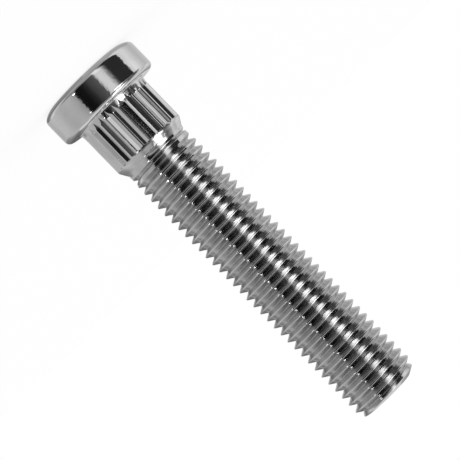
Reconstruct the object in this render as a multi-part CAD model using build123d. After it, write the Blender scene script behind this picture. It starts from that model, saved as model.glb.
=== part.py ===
from build123d import *

import os
from math import pi, radians, tan

# Press-in wheel stud, headed, knurled and thread-rolled from one bar.
# Millimetres. It stands on the flat top of its head, with +Z running from the head to the threaded point.

# Head
HEAD_DIAMETER = 18.05
HEAD_HEIGHT = 5.92
# Upset edge round the flat top of the head: a bevel that is rounded into the top and into the side
HEAD_BEVEL_WIDTH = 1.43
HEAD_BEVEL_HEIGHT = 0.83
HEAD_CROWN_RADIUS = 3.0
HEAD_EDGE_RADIUS = 1.0
# Rim on the seat side, and fillet where the shank grows out of the seat
SEAT_EDGE_RADIUS = 0.9
SEAT_FILLET_RADIUS = 0.2

# Serrated shank, pressed into the hub flange
KNURL_DIAMETER = 12.9
KNURL_LENGTH = 8.33
SERRATION_COUNT = 30
SERRATION_CREST_WIDTH = 0.25
SERRATION_GROOVE_ANGLE = 124.0
# Plain bands between the grooves and the seat, and between the grooves and the taper
SERRATION_START = 0.45
SERRATION_END = 0.05
# Lengths in which a groove sinks to full depth at the seat, and rises again at the taper
SERRATION_RUN_IN = 0.85
SERRATION_RUN_OUT = 0.2

# Taper and neck between the serrations and the thread
TAPER_LENGTH = 1.45
NECK_DIAMETER = 11.2
NECK_LENGTH = 1.1

# Threaded shank, as the cylinder over the crests of the thread
THREAD_DIAMETER = 11.75
THREAD_RUN_IN_LENGTH = 1.2
STUD_LENGTH = 61.28

# Lead-in point that starts the nut: a slow cone, then a blunt bevel down to the flat end
POINT_CONE_ANGLE = 30.0
POINT_SHOULDER_DIAMETER = 10.6
POINT_BEVEL_ANGLE = 60.0
POINT_BEVEL_LENGTH = 0.35

# How far a groove cutter stands clear of the metal
CUTTER_CLEARANCE = 0.1

# Heights of the seat and of each change of section above the top of the head
SEAT_Z = HEAD_HEIGHT
TAPER_Z = SEAT_Z + KNURL_LENGTH
NECK_Z = TAPER_Z + TAPER_LENGTH
RUN_IN_Z = NECK_Z + NECK_LENGTH
THREAD_Z = RUN_IN_Z + THREAD_RUN_IN_LENGTH
END_Z = SEAT_Z + STUD_LENGTH
BEVEL_Z = END_Z - POINT_BEVEL_LENGTH
CONE_Z = BEVEL_Z - (THREAD_DIAMETER - POINT_SHOULDER_DIAMETER) / 2 / tan(radians(POINT_CONE_ANGLE))


def turned_blank():
    """The stud before its serrations are rolled: half its section, turned about Z."""
    head_r = HEAD_DIAMETER / 2
    knurl_r = KNURL_DIAMETER / 2
    neck_r = NECK_DIAMETER / 2
    thread_r = THREAD_DIAMETER / 2
    shoulder_r = POINT_SHOULDER_DIAMETER / 2
    end_r = shoulder_r - POINT_BEVEL_LENGTH * tan(radians(POINT_BEVEL_ANGLE))
    # Each corner of the half section: radius, height, rounding
    corners = [
        (0, 0, 0),
        (head_r - HEAD_BEVEL_WIDTH, 0, HEAD_CROWN_RADIUS),
        (head_r, HEAD_BEVEL_HEIGHT, HEAD_EDGE_RADIUS),
        (head_r, SEAT_Z, SEAT_EDGE_RADIUS),
        (knurl_r, SEAT_Z, SEAT_FILLET_RADIUS),
        (knurl_r, TAPER_Z, 0),
        (neck_r, NECK_Z, 0),
        (neck_r, RUN_IN_Z, 0),
        (thread_r, THREAD_Z, 0),
        (thread_r, CONE_Z, 0),
        (shoulder_r, BEVEL_Z, 0),
        (end_r, END_Z, 0),
        (0, END_Z, 0),
    ]
    outline = FilletPolyline(
        [(radius, 0, height) for radius, height, _ in corners],
        radius=[rounding for _, _, rounding in corners],
        close=True,
    )
    return revolve(Face(Wire(outline.edges())), Axis.Z)


def groove_cutter():
    """A V-shaped cutter along +X that rises to a point at the seat and at the taper."""
    crest_r = KNURL_DIAMETER / 2
    groove_width = pi * KNURL_DIAMETER / SERRATION_COUNT - SERRATION_CREST_WIDTH
    flank_slope = tan(radians(SERRATION_GROOVE_ANGLE / 2))
    depth = groove_width / 2 / flank_slope
    rim_r = crest_r + CUTTER_CLEARANCE
    rim_half_width = (depth + CUTTER_CLEARANCE) * flank_slope
    full_from_z = SEAT_Z + SERRATION_START + SERRATION_RUN_IN
    full_to_z = TAPER_Z - SERRATION_END - SERRATION_RUN_OUT
    # Each rising end goes on past the crest in a straight line until it meets the rim of the cutter
    reach = (depth + CUTTER_CLEARANCE) / depth
    first_tip = Vertex(rim_r, 0, full_from_z - SERRATION_RUN_IN * reach)
    last_tip = Vertex(rim_r, 0, full_to_z + SERRATION_RUN_OUT * reach)
    section = Plane.XY.offset(full_from_z) * make_face(
        Polyline(
            (crest_r - depth, 0),
            (rim_r, rim_half_width),
            (rim_r, -rim_half_width),
            close=True,
        )
    )
    length = full_to_z - full_from_z
    groove = extrude(section, length, dir=(0, 0, 1))
    run_in = loft([section.face(), first_tip], ruled=True)
    run_out = loft([section.face().moved(Pos(0, 0, length)), last_tip], ruled=True)
    return groove + run_in + run_out


def wheel_stud():
    """The whole stud: the blank with its ring of serrations, a crest lying on +X."""
    half_pitch = 180 / SERRATION_COUNT
    grooves = PolarLocations(0, SERRATION_COUNT, start_angle=half_pitch) * groove_cutter()
    stud = turned_blank() - grooves
    stud.label = "wheel_stud"
    return stud


os.makedirs("parts", exist_ok=True)
export_step(wheel_stud(), "parts/wheel_stud.step")
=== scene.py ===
import logging
import math
from collections.abc import Mapping, Sequence
from dataclasses import dataclass
from enum import Enum

import bmesh
import bpy
from mathutils import Matrix, Vector


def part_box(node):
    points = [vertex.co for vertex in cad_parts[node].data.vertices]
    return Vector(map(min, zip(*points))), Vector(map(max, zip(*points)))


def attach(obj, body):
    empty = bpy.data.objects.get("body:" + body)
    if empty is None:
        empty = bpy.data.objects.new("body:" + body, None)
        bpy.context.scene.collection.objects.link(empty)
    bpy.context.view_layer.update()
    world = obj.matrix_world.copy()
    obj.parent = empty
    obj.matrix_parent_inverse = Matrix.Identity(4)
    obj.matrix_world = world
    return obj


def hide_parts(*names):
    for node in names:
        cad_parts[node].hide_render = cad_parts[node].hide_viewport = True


# The wheel stud stands on the flat top of its head, with its threaded point up.
# Sizes are in millimetres, as on a workshop drawing, and become metres where a mesh or the camera is made.

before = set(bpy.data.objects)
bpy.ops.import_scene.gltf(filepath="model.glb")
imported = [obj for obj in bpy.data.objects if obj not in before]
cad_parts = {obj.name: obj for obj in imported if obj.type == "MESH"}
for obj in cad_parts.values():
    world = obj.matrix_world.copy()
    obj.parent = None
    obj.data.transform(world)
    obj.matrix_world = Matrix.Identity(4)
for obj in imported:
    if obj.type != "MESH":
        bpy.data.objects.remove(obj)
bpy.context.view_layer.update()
STUD_NODE = "wheel_stud"
MM = 0.001
TURN = 2 * math.pi
LOG = logging.getLogger(STUD_NODE)

# How far the cards of the studio stand from the stud. One that overlaps another stands nearer.
BACK_ROW = 1500.0
MIDDLE_ROW = 1450.0
FRONT_ROW = 1400.0


class Zone(Enum):
    """The stretches of the stud that are finished in their own way, numbered as its material slots are."""

    HEAD = 0
    SHANK = 1
    TAPER = 2
    THREAD = 3


class Lay(Enum):
    """The way that the fine tool marks run."""

    EVEN = "even"
    AROUND = "around"
    ALONG = "along"


class Wire:
    """A shader value that takes part in Python arithmetic."""

    def __init__(self, graph: "Graph", socket: bpy.types.NodeSocket) -> None:
        """Wraps an output socket of a graph."""
        self.graph = graph
        self.socket = socket

    def __add__(self, other: "Wire | float") -> "Wire":
        """Adds a value to this one."""
        return self.graph.math("ADD", self, other)

    def __radd__(self, other: float) -> "Wire":
        """Adds this value to a number."""
        return self.graph.math("ADD", other, self)

    def __sub__(self, other: "Wire | float") -> "Wire":
        """Takes a value from this one."""
        return self.graph.math("SUBTRACT", self, other)

    def __rsub__(self, other: float) -> "Wire":
        """Takes this value from a number."""
        return self.graph.math("SUBTRACT", other, self)

    def __mul__(self, other: "Wire | float") -> "Wire":
        """Multiplies this value by another."""
        return self.graph.math("MULTIPLY", self, other)

    def __rmul__(self, other: float) -> "Wire":
        """Multiplies a number by this value."""
        return self.graph.math("MULTIPLY", other, self)

    def __truediv__(self, other: "Wire | float") -> "Wire":
        """Divides this value by another."""
        return self.graph.math("DIVIDE", self, other)

    def __rtruediv__(self, other: float) -> "Wire":
        """Divides a number by this value."""
        return self.graph.math("DIVIDE", other, self)


class Graph:
    """A node tree that is filled from Python expressions."""

    def __init__(self, tree: bpy.types.NodeTree) -> None:
        """Takes a node tree and empties it."""
        self.tree = tree
        tree.nodes.clear()

    def node(
        self,
        kind: str,
        settings: Mapping[str, object] | None = None,
        sockets: Mapping[str | int, object] | None = None,
    ) -> bpy.types.Node:
        """Adds a node.

        Args:
            kind: The node's type, without the words that every shader node's type starts with.
            settings: The node's own settings, which are set first.
            sockets: A number, colour or wire for each input that is named or numbered.

        Returns:
            The new node.
        """
        made = self.tree.nodes.new("ShaderNode" + kind)
        for name, value in (settings or {}).items():
            setattr(made, name, value)
        for key, value in (sockets or {}).items():
            if isinstance(value, Wire):
                self.tree.links.new(value.socket, made.inputs[key])
            else:
                made.inputs[key].default_value = value
        return made

    def wire(self, node: bpy.types.Node, output: str | int = 0) -> Wire:
        """Wraps one output of a node."""
        return Wire(self, node.outputs[output])

    def math(self, operation: str, *values: "Wire | float") -> Wire:
        """Adds a Math node.

        Args:
            operation: The name of the sum.
            values: What it is worked out from.

        Returns:
            Its result.
        """
        return self.wire(self.node("Math", {"operation": operation}, dict(enumerate(values))))

    def vector(self, x: "Wire | float", y: "Wire | float", z: "Wire | float") -> Wire:
        """Puts three values together as a vector."""
        return self.wire(self.node("CombineXYZ", sockets={"X": x, "Y": y, "Z": z}))

    def waves(self, place: Sequence[Wire], size: float) -> Wire:
        """Measures a place in waves of one size."""
        return self.vector(*(axis / size for axis in place))

    def noise(self, place: Wire, detail: float) -> Wire:
        """Adds smooth noise.

        Args:
            place: Where it is read, with one wave to about each unit of length.
            detail: How many finer layers it has.

        Returns:
            A value from 0 to 1, mostly near a half.
        """
        sockets = {"Vector": place, "Scale": 1.0, "Detail": detail}
        return self.wire(self.node("TexNoise", {"noise_dimensions": "3D"}, sockets))

    def rise(self, value: Wire, low: float, high: float) -> Wire:
        """Adds a smooth step.

        Args:
            value: What rises.
            low: The value up to which the step is 0.
            high: The value from which it is 1.

        Returns:
            The step.
        """
        settings = {"interpolation_type": "SMOOTHSTEP", "clamp": True}
        return self.wire(self.node("MapRange", settings, {"Value": value, "From Min": low, "From Max": high}))

    def finish(self, surface: bpy.types.Node, kind: str = "OutputMaterial") -> None:
        """Joins a shader to a new output."""
        self.tree.links.new(surface.outputs[0], self.node(kind).inputs["Surface"])


def grey(level: float) -> tuple[float, float, float, float]:
    """A grey of one level, as a colour."""
    return (level, level, level, 1.0)


@dataclass(frozen=True)
class PlatedFinish:
    """Bright plating on one stretch of the stud.

    Peel is the slow waviness of the plating, marks are the fine lines of the tool under it, and clouds are
    the faint changes of tone from the bath, which pass from dull to bright between two values of their noise.
    """

    name: str
    lay: Lay
    bright: float = 0.63
    dull: float = 0.57
    gloss: float = 0.05
    haze: float = 0.05
    peel_size: float = 0.7
    peel_height: float = 0.006
    mark_size: float = 0.22
    mark_height: float = 0.002
    mark_run: float = 2.5
    mark_haze: float = 0.6
    cloud_size: float = 3.0
    cloud_low: float = 0.3
    cloud_high: float = 0.7

    def marks_place(self, graph: Graph, place: Sequence[Wire]) -> Wire:
        """Stretches the place along the tool marks.

        Args:
            graph: The material's graph.
            place: The x, y and z of the place, in millimetres.

        Returns:
            The vector from which the marks are read.
        """
        x, y, z = place
        if self.lay is Lay.AROUND:
            radius = graph.math("SQRT", x * x + y * y)
            return graph.vector(
                x / radius * self.mark_run,
                y / radius * self.mark_run,
                (z + radius) / self.mark_size,
            )
        if self.lay is Lay.ALONG:
            return graph.vector(x / self.mark_size, y / self.mark_size, z / self.mark_run)
        return graph.waves(place, self.mark_size)

    def material(self) -> bpy.types.Material:
        """Makes the finish.

        Returns:
            The material.
        """
        made = bpy.data.materials.new(self.name)
        made.use_nodes = True
        graph = Graph(made.node_tree)
        axes = graph.node("SeparateXYZ", sockets={"Vector": graph.wire(graph.node("TexCoord"), "Object")})
        place = [graph.wire(axes, axis) / MM for axis in "XYZ"]
        marks = graph.noise(self.marks_place(graph, place), detail=2.0)
        peel = graph.noise(graph.waves(place, self.peel_size), detail=1.0)
        clouds = graph.noise(graph.waves(place, self.cloud_size), detail=3.0)
        share = graph.rise(clouds, self.cloud_low, self.cloud_high)
        tone = graph.node("Mix", {"data_type": "RGBA"}, {0: share, 6: grey(self.dull), 7: grey(self.bright)})
        blur = marks * self.mark_haze + clouds * (1 - self.mark_haze)
        height = peel * self.peel_height + marks * self.mark_height
        relief = graph.node("Bump", sockets={"Strength": 1.0, "Distance": MM, "Height": height})
        surface = graph.node(
            "BsdfPrincipled",
            sockets={
                "Base Color": graph.wire(tone, 2),
                "Metallic": 1.0,
                "Roughness": self.gloss + self.haze * blur,
                "Normal": graph.wire(relief),
            },
        )
        graph.finish(surface)
        return made


def soft_min(first: float, second: float, blend: float) -> float:
    """The lesser of two numbers, with a rounded change from one to the other.

    Args:
        first: A number.
        second: Another number.
        blend: The difference under which the change is rounded.

    Returns:
        The rounded minimum.
    """
    near = max(blend - abs(first - second), 0.0) / blend
    return min(first, second) - near * near * blend / 4


def soft_max(first: float, second: float, blend: float) -> float:
    """The greater of two numbers, with a rounded change from one to the other."""
    return -soft_min(-first, -second, blend)


def ease(value: float, low: float, high: float) -> float:
    """A smooth step from 0 at low to 1 at high."""
    part = min(max((value - low) / (high - low), 0.0), 1.0)
    return part * part * (3 - 2 * part)


def between(ends: Sequence[float], part: float) -> float:
    """The number that lies part of the way from one end to the other."""
    return ends[0] + (ends[1] - ends[0]) * part


def level_off(part: float) -> float:
    """A curve from 0 that is steepest at 0 and levels off to 1 at 1."""
    return 1 - (1 - min(max(part, 0.0), 1.0)) ** 2


class Skin:
    """The outer skin of the stud, put together ring by ring from the top of the head to the point."""

    def __init__(self) -> None:
        """Starts with no points."""
        self.points: list[tuple[float, float, float]] = []
        self.faces: list[tuple[int, ...]] = []
        self.zones: list[Zone] = []

    def point(self, radius: float, angle: float, height: float) -> int:
        """Adds a point and gives its number."""
        self.points.append((radius * math.cos(angle) * MM, radius * math.sin(angle) * MM, height * MM))
        return len(self.points) - 1

    def ring(self, radii: Sequence[float], angles: Sequence[float], height: float) -> list[int]:
        """Adds a ring of points at one height and gives their numbers."""
        return [self.point(radius, angle, height) for radius, angle in zip(radii, angles)]

    def face(self, zone: Zone, *corners: int) -> None:
        """Adds a face, with its corners anticlockwise as seen from outside."""
        self.faces.append(corners)
        self.zones.append(zone)

    def band(self, zone: Zone, lower: Sequence[int], upper: Sequence[int]) -> None:
        """Joins two open rows of as many points with a band of faces."""
        for here in range(len(lower) - 1):
            self.face(zone, lower[here], lower[here + 1], upper[here + 1], upper[here])

    def bridge(self, zone: Zone, lower: Sequence[int], upper: Sequence[int]) -> None:
        """Joins two rings of as many points with a band of faces."""
        self.band(zone, [*lower, lower[0]], [*upper, upper[0]])

    @staticmethod
    def triangles(fine: Sequence[int], coarse: Sequence[int]) -> list[tuple[int, int, int]]:
        """Fills the gap between a ring and one of half as many points above it.

        Args:
            fine: The lower ring.
            coarse: The upper ring.

        Returns:
            The corners of each triangle.
        """
        made: list[tuple[int, int, int]] = []
        for here, above in enumerate(coarse):
            after = coarse[(here + 1) % len(coarse)]
            left, middle, right = (fine[(2 * here + step) % len(fine)] for step in range(3))
            made += [(left, middle, above), (middle, after, above), (middle, right, after)]
        return made

    def narrow(self, zone: Zone, fine: Sequence[int], coarse: Sequence[int]) -> None:
        """Joins a ring to one of half as many points above it."""
        for corners in self.triangles(fine, coarse):
            self.face(zone, *corners)

    def widen(self, zone: Zone, coarse: Sequence[int], fine: Sequence[int]) -> None:
        """Joins a ring to one of twice as many points above it."""
        for corners in self.triangles(fine, coarse):
            self.face(zone, *reversed(corners))

    def mesh(self, name: str) -> bpy.types.Mesh:
        """Makes a mesh of the points and faces.

        Args:
            name: What the mesh is called.

        Returns:
            The mesh, with each face in the material slot of its zone.
        """
        made = bpy.data.meshes.new(name)
        made.from_pydata(self.points, [], self.faces)
        for polygon, zone in zip(made.polygons, self.zones):
            polygon.material_index = zone.value
        return made


def rounded(
    corners: Sequence[tuple[float, float, float]], steps: int = 9, support: float = 0.05
) -> list[tuple[float, float]]:
    """Rounds the corners of an outline.

    Args:
        corners: Radius, height and rounding of each corner. The first and the last stay as they are.
        steps: How many pieces a rounding is cut into.
        support: How far beyond each end of a rounding one more point lies, to keep what follows straight.

    Returns:
        Pairs of radius and height.
    """
    points = [Vector(corners[0][:2])]
    for before, corner, after in zip(corners, corners[1:], corners[2:]):
        here = Vector(corner[:2])
        back = (Vector(before[:2]) - here).normalized()
        ahead = (Vector(after[:2]) - here).normalized()
        half = back.angle(ahead) / 2
        reach = corner[2] / math.tan(half)
        centre = here + (back + ahead).normalized() * corner[2] / math.sin(half)
        turn = math.pi - 2 * half
        side = -1 if back.cross(ahead) > 0 else 1
        spoke = here + back * reach - centre
        points.append(here + back * (reach + support))
        for step in range(steps + 1):
            points.append(centre + Matrix.Rotation(side * turn * step / steps, 2) @ spoke)
        points.append(here + ahead * (reach + support))
    points.append(Vector(corners[-1][:2]))
    return [(point.x, point.y) for point in points]


@dataclass
class Head:
    """The round head, from its flat top at height 0 to the fillet at the root of the shank.

    The first ring of points lies within the flat top, at a share of its radius, and the last at the end of a
    short collar above the fillet.
    """

    radius: float
    height: float = 5.92
    bevel_width: float = 1.43
    bevel_height: float = 0.83
    crown: float = 3.0
    edge: float = 1.0
    seat_edge: float = 0.9
    fillet: float = 0.2
    first_ring: float = 0.4
    collar: float = 0.06

    def outline(self, shank_radius: float) -> list[tuple[float, float]]:
        """The outline from near the middle of the flat top to the shank.

        Args:
            shank_radius: Radius of the shank that grows out of the seat.

        Returns:
            Pairs of radius and height.
        """
        flat = self.radius - self.bevel_width
        return rounded(
            [
                (flat * self.first_ring, 0.0, 0.0),
                (flat, 0.0, self.crown),
                (self.radius, self.bevel_height, self.edge),
                (self.radius, self.height, self.seat_edge),
                (shank_radius, self.height, self.fillet),
                (shank_radius, self.height + self.fillet + self.collar, 0.0),
            ]
        )

    def build(self, skin: Skin, columns: int, shank_radius: float) -> list[int]:
        """Adds the head to the skin.

        Args:
            skin: The skin.
            columns: How many points a ring has.
            shank_radius: Radius of the shank that grows out of the seat.

        Returns:
            The last ring, where the shank goes on.
        """
        middle = skin.point(0.0, 0.0, 0.0)
        angles = [TURN * column / columns for column in range(columns)]
        last: list[int] = []
        for radius, height in self.outline(shank_radius):
            ring = skin.ring([radius] * columns, angles, height)
            if last:
                skin.bridge(Zone.HEAD, last, ring)
            else:
                for here in range(columns):
                    skin.face(Zone.HEAD, middle, ring[(here + 1) % columns], ring[here])
            last = ring
        return last


@dataclass
class SerratedShank:
    """The shank that is pressed into the hub, with its serrations, and the taper down to the neck.

    The last fields place the points. A ring has ten to a serration: the middle and both shoulders of its
    crest, and seven in the groove, of which the side ones lie at shares of its half width. They keep to a
    least half width, in radians, where there is no groove yet. The rings crowd together where a groove
    starts, and stand on both sides of the bend where it comes to its full depth.
    """

    start: float
    radius: float = 6.45
    length: float = 8.33
    count: int = 30
    crest_width: float = 0.25
    groove_angle: float = 124.0
    groove_start: float = 0.27
    groove_end: float = 0.05
    run_in: float = 1.12
    run_out: float = 0.2
    flare_length: float = 0.95
    flare_angle: float = 9.5
    taper_length: float = 1.45
    neck_radius: float = 5.6
    corner: float = 0.06
    tooth_points: int = 10
    shoulder_share: float = 0.2
    side_shares: tuple[float, ...] = (0.94, 0.55, 0.1)
    least_half: float = 0.012
    run_in_rings: int = 12
    run_in_crowding: float = 1.5
    bend: float = 0.03
    full_rings: tuple[float, ...] = (0.01, 0.25, 0.5, 0.75, 0.99)
    run_out_rings: int = 6
    taper_rings: tuple[float, ...] = (-0.03, 0.0, 0.03, 0.06, 0.3)

    def __post_init__(self) -> None:
        """Works out the groove from its width at the crests."""
        self.step = TURN / self.count
        self.cot = 1 / math.tan(math.radians(self.groove_angle / 2))
        half = (self.step - self.crest_width / self.radius) / 2
        self.root_radius = self.radius * (math.cos(half) - math.sin(half) * self.cot)
        self.taper_start = self.start + self.length
        self.groove_from = self.start + self.groove_start
        self.groove_to = self.taper_start - self.groove_end

    def blank_radius(self, height: float) -> float:
        """Radius of the shank before the grooves are pressed in, with a slight flare at its root.

        Args:
            height: The height above the top of the head.

        Returns:
            The radius, also on the taper and the neck.
        """
        slope = (self.radius - self.neck_radius) / self.taper_length
        taper = self.radius - (height - self.taper_start) * slope
        below = max(self.start + self.flare_length - height, 0.0)
        flare = below * math.tan(math.radians(self.flare_angle))
        return soft_max(soft_min(self.radius, taper, self.corner), self.neck_radius, self.corner) + flare

    def root_at(self, height: float) -> float:
        """Radius at the bottom of the grooves.

        Args:
            height: The height above the top of the head.

        Returns:
            The radius, which falls at the start of the grooves and rises at their end.
        """
        sunk = min(max((height - self.groove_from) / self.run_in, 0.0), 1.0)
        left = min(max((self.groove_to - height) / self.run_out, 0.0), 1.0)
        first = self.blank_radius(self.groove_from)
        falling = first + (self.root_radius - first) * sunk
        rising = self.radius + (self.root_radius - self.radius) * left
        return max(falling, rising)

    def plain_angles(self) -> list[float]:
        """Angles of the points of a ring with no grooves."""
        count = self.tooth_points * self.count
        return [TURN * place / count for place in range(count)]

    def ring(self, skin: Skin, height: float) -> list[int]:
        """Adds the ring of points at one height.

        Args:
            skin: The skin.
            height: The height above the top of the head.

        Returns:
            The ring, whose points follow the edges of the grooves.
        """
        blank = self.blank_radius(height)
        root = self.root_at(height)
        depth = max(blank - root, 0.0)
        # Half of the angle that a groove of this depth takes up
        half = math.sqrt(self.cot**2 + 2 * depth / blank) - self.cot
        wide = max(half, self.least_half)
        shoulder = wide + (self.step / 2 - wide) * self.shoulder_share
        side = [shoulder, *(wide * share for share in self.side_shares)]
        places = [self.step / 2, *side, 0.0, *(-place for place in reversed(side))]
        radii: list[float] = []
        angles: list[float] = []
        for tooth in range(self.count):
            for place in places:
                cut = root / (math.cos(place) - abs(math.sin(place)) * self.cot)
                radii.append(min(cut, blank) if abs(place) < half else blank)
                angles.append((tooth + 0.5) * self.step - place)
        return skin.ring(radii, angles, height)

    def build(self, skin: Skin, last: Sequence[int]) -> list[int]:
        """Adds the serrated shank and the plain start of the taper to the skin.

        Args:
            skin: The skin.
            last: The ring at the root of the shank, with one point to each two of the rings here.

        Returns:
            The last ring, on the taper.
        """
        full_from = self.groove_from + self.run_in
        full_to = self.groove_to - self.run_out
        starts = [(step / self.run_in_rings) ** self.run_in_crowding for step in range(self.run_in_rings)]
        stops = [step / self.run_out_rings for step in range(self.run_out_rings + 1)]
        grooved = [self.groove_from + self.run_in * part for part in starts]
        grooved += [full_from - self.bend / 2, full_from + self.bend / 2]
        grooved += [between((full_from, full_to), part) for part in self.full_rings]
        grooved += [full_to + self.run_out * part for part in stops]
        for place, height in enumerate(grooved):
            ring = self.ring(skin, height)
            if place:
                skin.bridge(Zone.SHANK, last, ring)
            else:
                skin.widen(Zone.SHANK, last, ring)
            last = ring
        angles = self.plain_angles()
        for height in (self.taper_start + step for step in self.taper_rings):
            ring = skin.ring([self.blank_radius(height)] * len(angles), angles, height)
            skin.bridge(Zone.TAPER if height > self.taper_start else Zone.SHANK, last, ring)
            last = ring
        return last


@dataclass
class ThreadedShank:
    """The rolled thread, from its run-in at the end of the taper to the lead-in point.

    In the run-in the grooves start shallow, so its crests are broad and flat. The crests grow quickly there,
    by the larger share of their growth, and then slowly for some turns, as the rolled metal fills them. The
    point is a slow cone and then a blunt bevel, both a little out of true, as they are sheared before the
    thread is rolled. The lean is towards +X. The last two fields place a row of points on each flank and one
    beside each root.
    """

    end: float
    shank: SerratedShank
    pitch: float = 1.5
    crest_radius: float = 5.87
    root_radius: float = 4.86
    root_rounding: float = 0.05
    crest_half_width: float = 0.122
    crest_turn: float = 45.0
    flank_angle: float = 58.0
    first_crest: float = 14.735
    run_in_from: float = 15.5
    run_in: float = 2.5
    crest_from: float = 16.9
    crest_run_in: float = 1.3
    crest_fill: float = 8.0
    quick_growth: float = 0.65
    least_flank: float = 0.04
    shoulder_radius: float = 5.3
    cone_slope: float = 0.577
    bevel_slope: float = 1.73
    bevel_length: float = 0.35
    lean: float = 3.6
    point_blend: float = 0.08
    flank_row: float = 0.8
    root_row: float = 0.25

    def __post_init__(self) -> None:
        """Works out the columns of points, and how the roundings of the crest and the root meet a flank."""
        self.columns = self.shank.tooth_points * self.shank.count // 2
        turn = math.radians(self.crest_turn)
        self.crest_rounding = self.crest_half_width / math.sin(turn)
        self.crest_drop = self.crest_rounding * (1 - math.cos(turn))
        tilt = math.radians(self.flank_angle)
        self.flank_slope = math.tan(tilt)
        self.foot = self.pitch / 2 - self.root_rounding * math.sin(tilt)
        self.foot_rise = self.root_rounding * (1 - math.cos(tilt))

    def growth_at(self, height: float) -> float:
        """How far the crests have grown out of the neck.

        Args:
            height: The height above the top of the head.

        Returns:
            The growth of the radius.
        """
        grown = self.quick_growth * ease(height, self.crest_from, self.crest_from + self.crest_run_in)
        grown += (1 - self.quick_growth) * ease(height, self.crest_from, self.crest_from + self.crest_fill)
        return (self.crest_radius - self.shank.neck_radius) * grown

    def crest_at(self, height: float) -> float:
        """Radius over the crests at one height, which follows the taper before the run-in."""
        return self.shank.blank_radius(height) + self.growth_at(height)

    def root_at(self, height: float) -> float:
        """Radius at the bottom of the grooves at one height."""
        sunk = level_off((height - self.run_in_from) / self.run_in)
        return self.shank.blank_radius(height) + (self.root_radius - self.shank.neck_radius) * sunk

    def edge_at(self, middle: float) -> float:
        """Distance from a crest to the edge of the groove whose middle is at one height."""
        flank = self.crest_at(middle) - self.crest_drop - self.root_at(middle) - self.foot_rise
        return self.foot - max(flank / self.flank_slope, self.least_flank)

    def envelope(self, angle: float, height: float) -> float:
        """Radius that the lead-in point allows.

        Args:
            angle: The angle round the stud.
            height: The height above the top of the head.

        Returns:
            The radius.
        """
        sway = self.shoulder_radius * math.cos(angle) * math.tan(math.radians(self.lean))
        ahead = self.end - self.bevel_length + sway - height
        return soft_min(
            self.shoulder_radius + ahead * self.cone_slope,
            self.shoulder_radius + ahead * self.bevel_slope,
            self.point_blend,
        )

    def radius_at(self, angle: float, height: float) -> float:
        """Radius of the stud at one place.

        Args:
            angle: The angle round the stud.
            height: The height above the top of the head.

        Returns:
            The radius.
        """
        along = (height - self.first_crest - self.pitch * angle / TURN) % self.pitch
        middle = height - along + self.pitch / 2
        edge = self.edge_at(middle)
        distance = min(along, self.pitch - along)
        crest = self.crest_at(height)
        root = self.root_at(middle)
        if distance <= edge:
            aside = max(distance - edge + self.crest_half_width, 0.0)
            level = crest + (self.growth_at(middle) - self.growth_at(height)) * distance / edge
            full = level - self.crest_rounding + math.sqrt(self.crest_rounding**2 - aside**2)
        elif distance <= self.foot:
            full = root + self.foot_rise + (self.foot - distance) * self.flank_slope
        else:
            aside = self.pitch / 2 - distance
            full = root + self.root_rounding - math.sqrt(self.root_rounding**2 - aside**2)
        return soft_min(min(full, crest), self.envelope(angle, height), self.point_blend)

    def row_places(self, crest: float) -> list[float]:
        """Places the rows of points between a crest and the next one.

        Args:
            crest: The height of the crest.

        Returns:
            The distance of each row from the crest, from 0 up.
        """
        edge = self.edge_at(crest + self.pitch / 2)
        flat = edge - self.crest_half_width
        turns = [math.radians(self.crest_turn) * part for part in (1 / 3, 2 / 3)]
        round_rows = [flat + self.crest_rounding * math.sin(turn) for turn in turns]
        flank_row = between((edge, self.foot), self.flank_row)
        root_row = between((self.foot, self.pitch / 2), self.root_row)
        half = [0.0, *round_rows, edge, flank_row, self.foot, root_row]
        return [*half, self.pitch / 2, *(self.pitch - place for place in reversed(half[1:]))]

    def spot(self, skin: Skin, column: int, height: float) -> int:
        """Adds the point of the thread in one column at one height."""
        angle = TURN * column / self.columns
        return skin.point(self.radius_at(angle, height), angle, height)

    def turn_rows(self, skin: Skin, turn: int) -> list[list[int]]:
        """Adds the rows of points of one turn of the thread.

        Args:
            skin: The skin.
            turn: How many turns lie before it.

        Returns:
            The rows, from a crest up to the next one, which isn't among them.
        """
        columns: list[list[int]] = []
        for column in range(self.columns):
            crest = self.first_crest + (turn + column / self.columns) * self.pitch
            columns.append([self.spot(skin, column, crest + place) for place in self.row_places(crest)])
        return [list(row) for row in zip(*columns)]

    def build(self, skin: Skin, last: Sequence[int]) -> None:
        """Adds the thread to the skin, past the end of the stud, where it is cut off later.

        The rows of points climb with the thread, so a row that has gone once round goes on as the row one
        pitch higher. The wedge between the level ring below and the first row has as many rows as a turn,
        which start together.

        Args:
            skin: The skin.
            last: The ring on the taper, with two points to each column.
        """
        places = self.row_places(self.first_crest)
        count = len(places)
        turns = math.ceil((self.end - self.first_crest) / self.pitch) + 1
        rows = [row for turn in range(turns) for row in self.turn_rows(skin, turn)]
        wedge = [[rows[0][0]] for _ in places] + [rows[0]]
        for row, place in zip(wedge, places):
            for column in range(1, self.columns):
                row.append(self.spot(skin, column, self.first_crest + place * column / self.columns))
        skin.narrow(Zone.TAPER, last, wedge[0])
        for row in range(count):
            lower, upper = wedge[row], wedge[row + 1]
            skin.face(Zone.THREAD, lower[0], lower[1], upper[1])
            skin.band(Zone.THREAD, [*lower[1:], rows[row][0]], [*upper[1:], rows[row + 1][0]])
        for row in range(len(rows) - 1):
            lower, upper = rows[row], rows[row + 1]
            skin.band(Zone.THREAD, lower, upper)
            if row + 1 + count < len(rows):
                skin.face(Zone.THREAD, lower[-1], rows[row + count][0], rows[row + count + 1][0], upper[-1])


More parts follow.
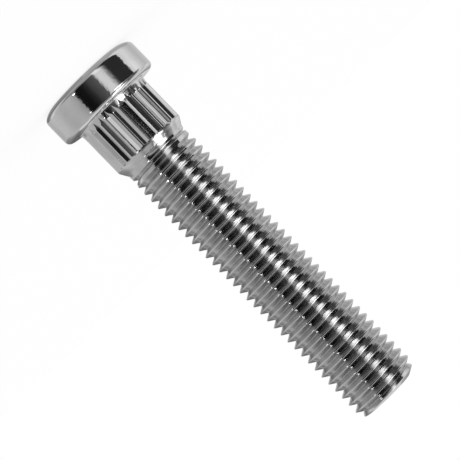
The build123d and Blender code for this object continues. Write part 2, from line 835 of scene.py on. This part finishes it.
@dataclass
class WheelStud:
    """The whole stud, rolled from one bar and plated."""

    head: Head
    shank: SerratedShank
    thread: ThreadedShank
    crease: float = 16.5

    def finishes(self) -> list[PlatedFinish]:
        """The finish of each zone, in the order of the zones."""
        return [
            PlatedFinish("plated_head", Lay.EVEN, peel_size=0.5, peel_height=0.009),
            PlatedFinish(
                "plated_serrations",
                Lay.ALONG,
                haze=0.1,
                mark_size=0.1,
                mark_height=0.004,
                mark_run=7.0,
            ),
            PlatedFinish(
                "plated_taper",
                Lay.AROUND,
                haze=0.08,
                mark_size=0.19,
                mark_height=0.003,
                mark_run=1.0,
            ),
            PlatedFinish(
                "plated_thread",
                Lay.AROUND,
                bright=0.58,
                dull=0.51,
                haze=0.12,
                peel_height=0.0015,
                mark_size=0.19,
                mark_height=0.004,
                mark_run=1.0,
            ),
        ]

    def close_end(self, mesh: bpy.types.Mesh) -> None:
        """Cuts the thread off square at the end of the stud and closes it with the end face.

        Args:
            mesh: The skin, which is open at the end.
        """
        body = bmesh.new()
        body.from_mesh(mesh)
        everything = [*body.verts, *body.edges, *body.faces]
        end = Vector((0, 0, self.thread.end * MM))
        bmesh.ops.bisect_plane(body, geom=everything, plane_co=end, plane_no=(0, 0, 1), clear_outer=True)
        rim = [edge for edge in body.edges if edge.is_boundary]
        cap = bmesh.ops.contextual_create(body, geom=rim, mat_nr=Zone.THREAD.value)["faces"]
        bmesh.ops.poke(body, faces=cap)
        bmesh.ops.triangulate(body, faces=[face for face in body.faces if len(face.verts) > 4])
        open_edges = sum(not edge.is_manifold for edge in body.edges)
        LOG.info("open or doubled edges: %d", open_edges)
        body.to_mesh(mesh)
        body.free()

    def build(self) -> bpy.types.Object:
        """Builds and dresses the stud.

        Returns:
            The object that stands for the stud of the frame.
        """
        skin = Skin()
        root_radius = self.shank.blank_radius(self.shank.start + self.head.fillet)
        ring = self.head.build(skin, self.thread.columns, root_radius)
        ring = self.shank.build(skin, ring)
        self.thread.build(skin, ring)
        mesh = skin.mesh("wheel_stud_skin")
        self.close_end(mesh)
        mesh.shade_smooth()
        mesh.set_sharp_from_angle(angle=math.radians(self.crease))
        for finish in self.finishes():
            mesh.materials.append(finish.material())
        stud = bpy.data.objects.new("wheel_stud_plated", mesh)
        bpy.context.collection.objects.link(stud)
        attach(stud, "root")
        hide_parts(STUD_NODE)
        return stud


@dataclass(frozen=True)
class Card:
    """A glowing sheet round the stud, seen only in the stud's reflections. Its glow is painted reflection: it
    paints the light and shade that the plating shows from this side, and it lights nothing else and casts no
    shadow.

    The angles are in degrees, seen from the stud. Azimuth 0 is towards the camera and grows towards +X, and
    elevation 0 is level. The glow runs from its first value to its last over the azimuth, in even steps.
    """

    name: str
    azimuth: tuple[float, float]
    elevation: tuple[float, float]
    glow: tuple[float, ...]
    distance: float = BACK_ROW
    steps: int = 24

    def shade(self, part: float) -> float:
        """The glow at one place.

        Args:
            part: How far across the card the place is, from 0 to 1.

        Returns:
            The glow.
        """
        if len(self.glow) == 1:
            return self.glow[0]
        place = part * (len(self.glow) - 1)
        before = min(int(place), len(self.glow) - 2)
        return between(self.glow[before : before + 2], place - before)

    def material(self) -> bpy.types.Material:
        """Makes a glow that is as strong as the points of the card say.

        Returns:
            The material.
        """
        made = bpy.data.materials.new(self.name)
        made.use_nodes = True
        graph = Graph(made.node_tree)
        glow = graph.wire(graph.node("Attribute", {"attribute_name": "glow"}), "Color")
        graph.finish(graph.node("Emission", sockets={"Color": glow, "Strength": 1.0}))
        return made

    def build(self) -> None:
        """Makes the card as a patch of a ball round the stud."""
        points: list[Vector] = []
        shades: list[float] = []
        faces: list[tuple[int, ...]] = []
        across = self.steps + 1
        for row in range(across):
            level = math.radians(between(self.elevation, row / self.steps))
            for column in range(across):
                part = column / self.steps
                turn = math.radians(between(self.azimuth, part))
                way = (math.sin(turn) * math.cos(level), -math.cos(turn) * math.cos(level), math.sin(level))
                points.append(Vector(way) * self.distance * MM)
                shades.append(self.shade(part))
        for row in range(self.steps):
            for column in range(self.steps):
                corner = row * across + column
                faces.append((corner, corner + 1, corner + across + 1, corner + across))
        mesh = bpy.data.meshes.new(self.name)
        mesh.from_pydata(points, [], faces)
        colours = mesh.attributes.new("glow", "FLOAT_COLOR", "POINT")
        for place, shade in zip(colours.data, shades):
            place.color = grey(shade)
        mesh.materials.append(self.material())
        card = bpy.data.objects.new(self.name, mesh)
        bpy.context.collection.objects.link(card)
        # Painted reflection only: hidden from the camera, from shadows and from diffuse light.
        card.visible_camera = False
        card.visible_shadow = False
        card.visible_diffuse = False


@dataclass
class Studio:
    """The pale floor, the white surround, and the cards of painted reflections round the stud."""

    floor_reach: float = 3000.0
    floor_drop: float = 0.02
    floor_tone: float = 0.95
    floor_glow: float = 0.85

    def cards(self) -> list[Card]:
        """The cards, whose glow paints the light and shade that show in the plating."""
        return [
            # Every glow here is painted: dark values paint shade and bright ones paint highlights, only where
            # the plating reflects them.
            Card("front_flag", (-15.5, 36), (-40, 25), (0.138, 0.104, 0.071, 0.025, 0.011, 0.008, 0.008)),
            Card("front_low_flag", (-15.5, 36), (-60, -40), (0.6, 0.45, 0.33, 0.2, 0.16)),
            Card("upper_flag", (-20, 38), (25, 37.5), (0.06,)),
            Card("upper_glow", (-20, 38), (37.5, 44), (0.55,)),
            Card("top_flag", (-22, 40), (44, 54.5), (0.12, 0.19, 0.19, 0.2, 0.3)),
            Card("top_glow", (-22, 40), (54.5, 66), (0.2, 0.5, 0.6, 0.6, 0.5)),
            Card("side_flag", (-83, -47), (-60, 14), (0.035,)),
            Card("side_upper_flag", (-83, -47), (14, 22), (0.4,)),
            Card("side_mid_flag", (-104, -80), (8, 36), (0.5, 0.15, 0.07), distance=MIDDLE_ROW),
            Card("side_top_flag", (-106, -72), (36, 62), (0.7, 0.4, 0.22, 0.22), distance=MIDDLE_ROW),
            Card("key_gap", (-47, -15.5), (-9, 9.5), (0.05, 0.2, 0.52, 0.85, 0.98, 1.0, 1.0, 0.92, 0.45)),
            Card("key_gap_low", (-47, -15.5), (-60, -9), (0.1, 0.3, 0.65, 1.05, 1.25, 1.28, 1.25, 1.0, 0.5)),
            Card(
                "key_low",
                (-62, -24),
                (9.5, 20),
                (0.4, 0.4, 0.45, 1.0, 4.6, 5.9, 6.0, 5.5, 4.0),
                distance=FRONT_ROW,
            ),
            Card("key_middle", (-84, -18), (20, 42), (0.15,), distance=MIDDLE_ROW),
            Card(
                "key_high",
                (-72, -22),
                (42, 49),
                (0.7, 1.6, 3.2, 4.2, 4.2, 3.8, 3.6, 3.0, 2.0, 1.2, 0.85),
                distance=FRONT_ROW,
            ),
            Card(
                "key_higher",
                (-72, -12),
                (49, 53),
                (0.4, 0.6, 0.9, 1.3, 2.6, 3.6, 3.8, 3.9, 3.9, 3.1, 1.6, 0.5, 0.2),
                distance=FRONT_ROW,
            ),
            Card(
                "key_top",
                (-72, -22),
                (53, 74),
                (0.4, 0.7, 1.5, 2.8, 3.4, 3.4, 3.4, 3.4, 2.6, 1.2, 0.4),
                distance=FRONT_ROW,
            ),
            Card(
                "near_wall",
                (36, 100),
                (-38, 60),
                (0.41, 0.54, 0.625, 0.65, 0.645, 0.625, 0.62, 0.66, 0.705),
            ),
            Card("near_low", (36, 100), (-60, -38), (0.3, 0.3, 0.32, 0.36, 0.6)),
            # The back and far cards paint a pale surround behind the stud. back_top and far_top fall dark
            # towards azimuth 180, and back_low past azimuth 130: this is painted shadow of the stud on that
            # surround. The peak of back_low near azimuth 120 is a painted glint.
            Card("back_wall", (100, 180), (-9, 2), (0.705, 0.74, 0.745, 0.715, 0.63, 0.58, 0.61, 0.62, 0.63)),
            Card("back_low", (100, 180), (-60, -9), (0.65, 0.85, 1.0, 0.6, 0.28, 0.25, 0.28, 0.36, 0.45)),
            Card("back_top", (100, 180), (2, 45), (0.72, 0.72, 0.66, 0.46, 0.36, 0.32, 0.28, 0.2, 0.12)),
            Card("far_wall", (-180, -130), (-16, 6), (0.69, 0.7, 0.72, 0.73, 0.73, 0.73)),
            Card("far_top", (-180, -130), (6, 45), (0.2, 0.45, 0.8, 0.95, 0.95)),
            Card(
                "far_glow",
                (-130, -85),
                (-50, 60),
                (0.73, 0.765, 0.84, 0.91, 0.98, 1.04, 1.075, 1.08, 1.0, 0.92),
            ),
            Card("far_low", (-180, -130), (-60, -16), (0.55,)),
            Card("far_glow_low", (-130, -85), (-60, -50), (0.6,)),
            # A half-grey glowing sheet below the stud that paints the reflection of the surface under it.
            Card("painted_table_reflection", (-180, 180), (-90, -60), (0.5,)),
            # Two small bright sheets that paint glints of lamps in the plating; they light nothing else.
            Card("painted_lamp_glint_low", (35, 40), (-16, -9), (9.0,), distance=FRONT_ROW),
            Card("painted_lamp_glint_level", (35, 40), (0.5, 5), (5.0,), distance=FRONT_ROW),
        ]

    def surround(self) -> None:
        """Makes the world an even white."""
        world = bpy.data.worlds.new("white_surround")
        world.use_nodes = True
        graph = Graph(world.node_tree)
        white = graph.node("Background", sockets={"Color": grey(1.0), "Strength": 1.0})
        graph.finish(white, "OutputWorld")
        bpy.context.scene.world = world

    def floor(self) -> None:
        """Makes the floor, white where the stud casts no shadow."""
        paint = bpy.data.materials.new("pale_floor")
        paint.use_nodes = True
        graph = Graph(paint.node_tree)
        matt = graph.wire(graph.node("BsdfDiffuse", sockets={"Color": grey(self.floor_tone)}))
        white = graph.wire(graph.node("Emission", sockets={"Color": grey(1.0), "Strength": 1.0}))
        seen = graph.wire(graph.node("LightPath"), "Is Camera Ray")
        graph.finish(graph.node("MixShader", sockets={0: seen * self.floor_glow, 1: matt, 2: white}))
        reach = self.floor_reach * MM
        drop = -self.floor_drop * MM
        mesh = bpy.data.meshes.new("floor")
        corners = [(-reach, -reach, drop), (reach, -reach, drop), (reach, reach, drop), (-reach, reach, drop)]
        mesh.from_pydata(corners, [], [(0, 1, 2, 3)])
        mesh.materials.append(paint)
        floor = bpy.data.objects.new("floor", mesh)
        bpy.context.collection.objects.link(floor)
        # The floor is hidden from reflections; the low cards paint what the plating shows there instead.
        floor.visible_glossy = False

    def build(self) -> None:
        """Sets up the studio."""
        bpy.context.scene.view_settings.view_transform = "Standard"
        self.surround()
        self.floor()
        for card in self.cards():
            card.build()


@dataclass
class PhotoCamera:
    """The camera, level with the middle of the stud and rolled, so that the stud lies across the picture."""

    distance: float = 391.0
    aim_x: float = 0.218
    aim_height: float = 32.24
    view_width: float = 70.52
    tilt: float = 45.80
    sensor: float = 36.0
    clip_near: float = 10.0
    clip_far: float = 20000.0

    def build(self) -> bpy.types.Object:
        """Makes the camera and gives it to the scene.

        Returns:
            The camera.
        """
        data = bpy.data.cameras.new("photo_camera")
        data.sensor_width = self.sensor
        data.lens = self.sensor * self.distance / self.view_width
        data.clip_start = self.clip_near * MM
        data.clip_end = self.clip_far * MM
        lean = math.radians(self.tilt)
        right = Vector((-math.sin(lean), 0.0, math.cos(lean)))
        up = Vector((-math.cos(lean), 0.0, -math.sin(lean)))
        back = right.cross(up)
        camera = bpy.data.objects.new("photo_camera", data)
        bpy.context.collection.objects.link(camera)
        place = Vector((self.aim_x, 0.0, self.aim_height)) * MM + back * self.distance * MM
        turn = Matrix((right, up, back)).transposed().to_4x4()
        camera.matrix_world = Matrix.Translation(place) @ turn
        bpy.context.scene.camera = camera
        return camera


def main() -> None:
    """Builds the stud, the studio and the camera, and notes the sizes."""
    logging.basicConfig(level=logging.INFO, format="%(name)s: %(message)s")
    _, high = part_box(STUD_NODE)
    head = Head(radius=high.x / MM)
    shank = SerratedShank(start=head.height)
    thread = ThreadedShank(end=high.z / MM, shank=shank)
    stud = WheelStud(head, shank, thread).build()
    LOG.info("%s: %d faces", stud.name, len(stud.data.polygons))
    Studio().build()
    LOG.info("studio ready")
    camera = PhotoCamera().build()
    LOG.info("%s: lens %.0f mm", camera.name, camera.data.lens)


if __name__ == "__main__":
    main()
